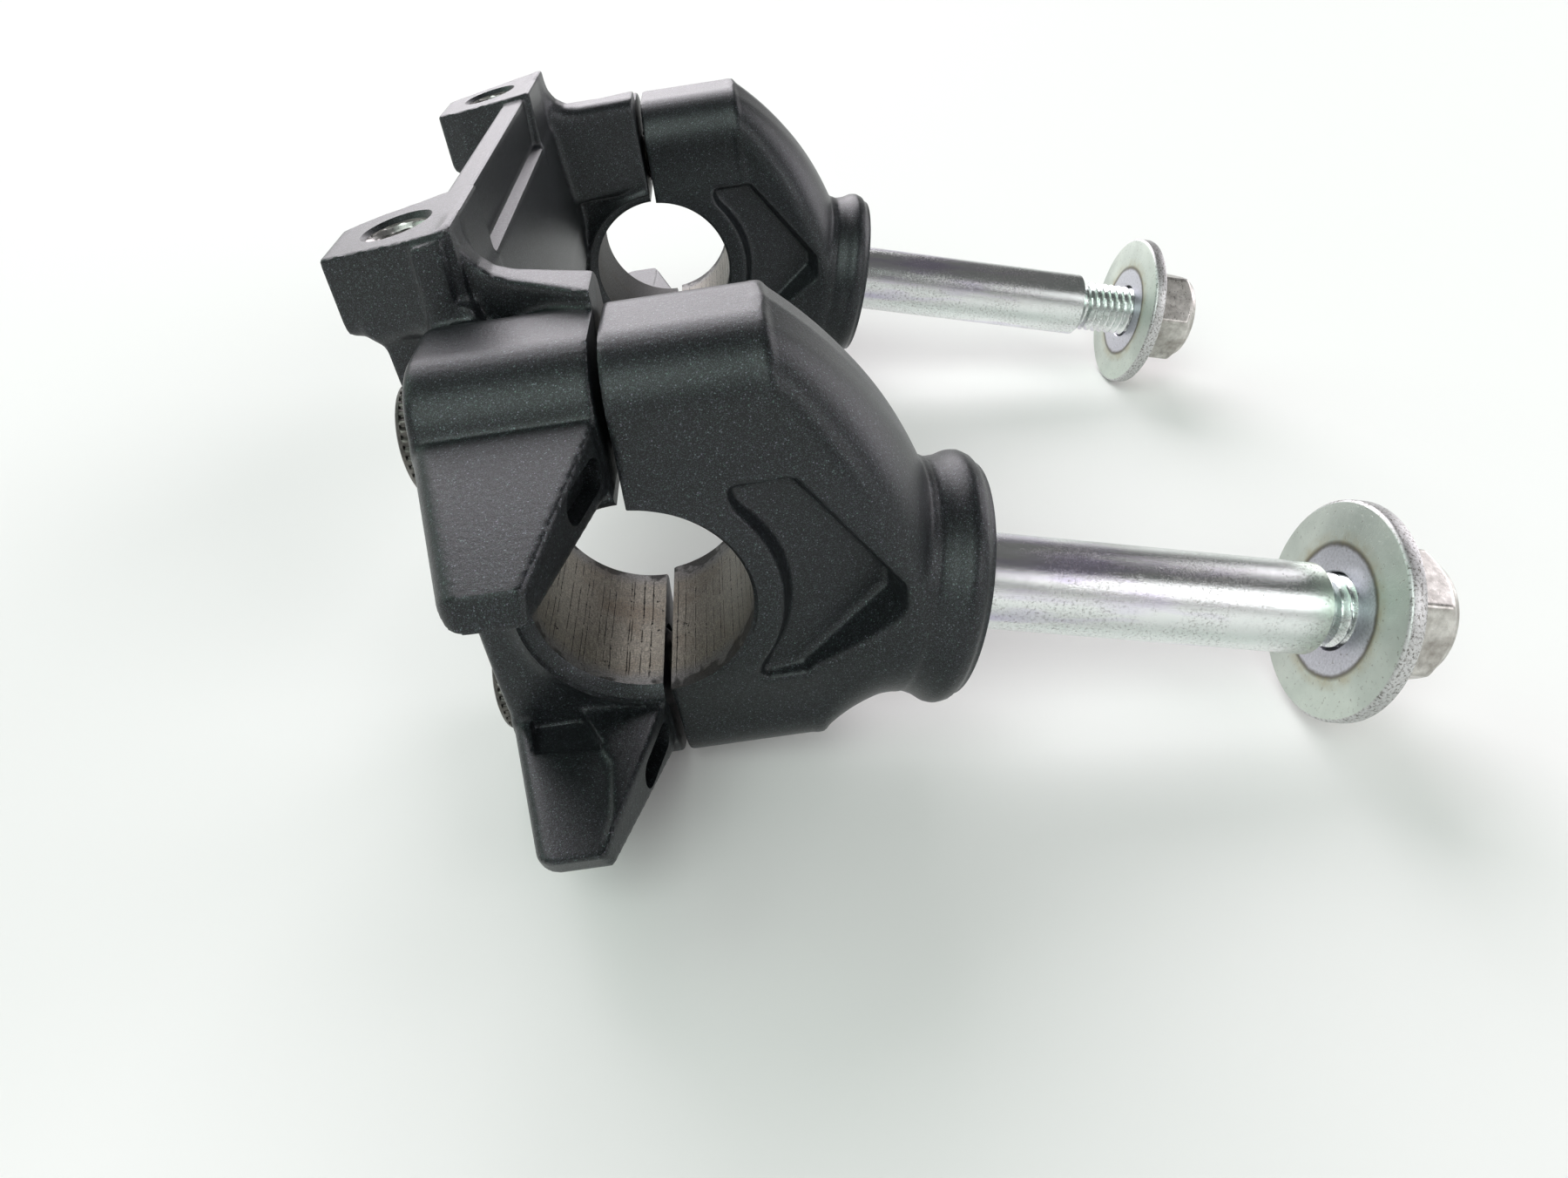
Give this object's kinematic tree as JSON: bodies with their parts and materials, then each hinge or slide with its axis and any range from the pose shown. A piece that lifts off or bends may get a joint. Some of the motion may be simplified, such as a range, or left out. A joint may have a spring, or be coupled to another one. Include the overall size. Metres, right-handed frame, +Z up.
{
  "type": "handlebar clamp with risers",
  "caption": "Motorcycle handlebar clamp set: cast risers on long threaded studs under a one-piece top clamp with bracket bosses, lying on its side.",
  "frame": {"origin": "middle of the bounding box, on the ground plane that the set lies on", "axes": "+Y along the handlebar from the left riser to the right, +X from the clamp towards the nuts, +Z up as the set lies on its side"},
  "size_m": [0.1472, 0.179, 0.0663],
  "materials": {
    "black_casting": "satin black metallic paint on an aluminium casting, bare aluminium in the bore",
    "zinc_stud": "bright zinc plate with a faint yellow and violet tint",
    "zinc_washer": "dull zinc plate with a rubbed ring and rust marks",
    "nut_steel": "dull worn steel",
    "screw_steel": "dark oxidised steel",
    "nylon": "off-white nylon"
  },
  "bodies": {
    "clamp": {"top_clamp": "black_casting"},
    "riser_left": {"riser_left": "black_casting", "stud_left": "zinc_stud"},
    "screw_upper_left": {"screw_upper_left": "screw_steel"},
    "screw_lower_left": {"screw_lower_left": "screw_steel"},
    "washer_left": {"washer_left": "zinc_washer"},
    "lock_nut_left": {"lock_nut_left": "nut_steel", "nylon_ring_left": "nylon"},
    "riser_right": {"riser_right": "black_casting", "stud_right": "zinc_stud"},
    "screw_upper_right": {"screw_upper_right": "screw_steel"},
    "screw_lower_right": {"screw_lower_right": "screw_steel"},
    "washer_right": {"washer_right": "zinc_washer"},
    "lock_nut_right": {"lock_nut_right": "nut_steel", "nylon_ring_right": "nylon"}
  },
  "joints": [
    {"name": "riser_left_slide", "type": "slide", "parent": "clamp", "child": "riser_left", "axis": [0.9918, 0, 0.1277], "range_m": [-0.0008, 0.02]},
    {"name": "screw_upper_left_turn", "type": "hinge", "parent": "clamp", "child": "screw_upper_left", "pos_m": [-0.05052, -0.0545, 0.04773], "axis": [0.9918, 0, 0.1277], "range_deg": [-5761, 231.4]},
    {"name": "screw_lower_left_turn", "type": "hinge", "parent": "clamp", "child": "screw_lower_left", "pos_m": [-0.0459, -0.0545, 0.01183], "axis": [0.9918, 0, 0.1277], "range_deg": [-5761, 231.4]},
    {"name": "washer_left_slide", "type": "slide", "parent": "riser_left", "child": "washer_left", "axis": [0.9886, 0, -0.1506], "range_m": [-0.0028, 0.0135]},
    {"name": "lock_nut_left_turn", "type": "hinge", "parent": "washer_left", "child": "lock_nut_left", "pos_m": [0.05549, -0.0545, 0.01585], "axis": [0.9886, 0, -0.1506], "range_deg": [-673, 3241]},
    {"name": "riser_right_slide", "type": "slide", "parent": "clamp", "child": "riser_right", "axis": [0.9918, 0, 0.1277], "range_m": [-0.0008, 0.02]},
    {"name": "screw_upper_right_turn", "type": "hinge", "parent": "clamp", "child": "screw_upper_right", "pos_m": [-0.05052, 0.0545, 0.04773], "axis": [0.9918, 0, 0.1277], "range_deg": [-5761, 231.4]},
    {"name": "screw_lower_right_turn", "type": "hinge", "parent": "clamp", "child": "screw_lower_right", "pos_m": [-0.0459, 0.0545, 0.01183], "axis": [0.9918, 0, 0.1277], "range_deg": [-5761, 231.4]},
    {"name": "washer_right_slide", "type": "slide", "parent": "riser_right", "child": "washer_right", "axis": [0.9886, 0, -0.1506], "range_m": [-0.0103, 0.006]},
    {"name": "lock_nut_right_turn", "type": "hinge", "parent": "washer_right", "child": "lock_nut_right", "pos_m": [0.05549, 0.0545, 0.01585], "axis": [0.9886, 0, -0.1506], "range_deg": [-2473, 1441]}
  ],
  "couplings": [
    {"joint": "screw_upper_left_turn", "follows": "riser_left_slide", "rad_per_m": -5026.5},
    {"joint": "screw_lower_left_turn", "follows": "riser_left_slide", "rad_per_m": -5026.5},
    {"joint": "lock_nut_left_turn", "follows": "washer_left_slide", "rad_per_m": 4188.8},
    {"joint": "screw_upper_right_turn", "follows": "riser_right_slide", "rad_per_m": -5026.5},
    {"joint": "screw_lower_right_turn", "follows": "riser_right_slide", "rad_per_m": -5026.5},
    {"joint": "lock_nut_right_turn", "follows": "washer_right_slide", "rad_per_m": 4188.8}
  ]
}
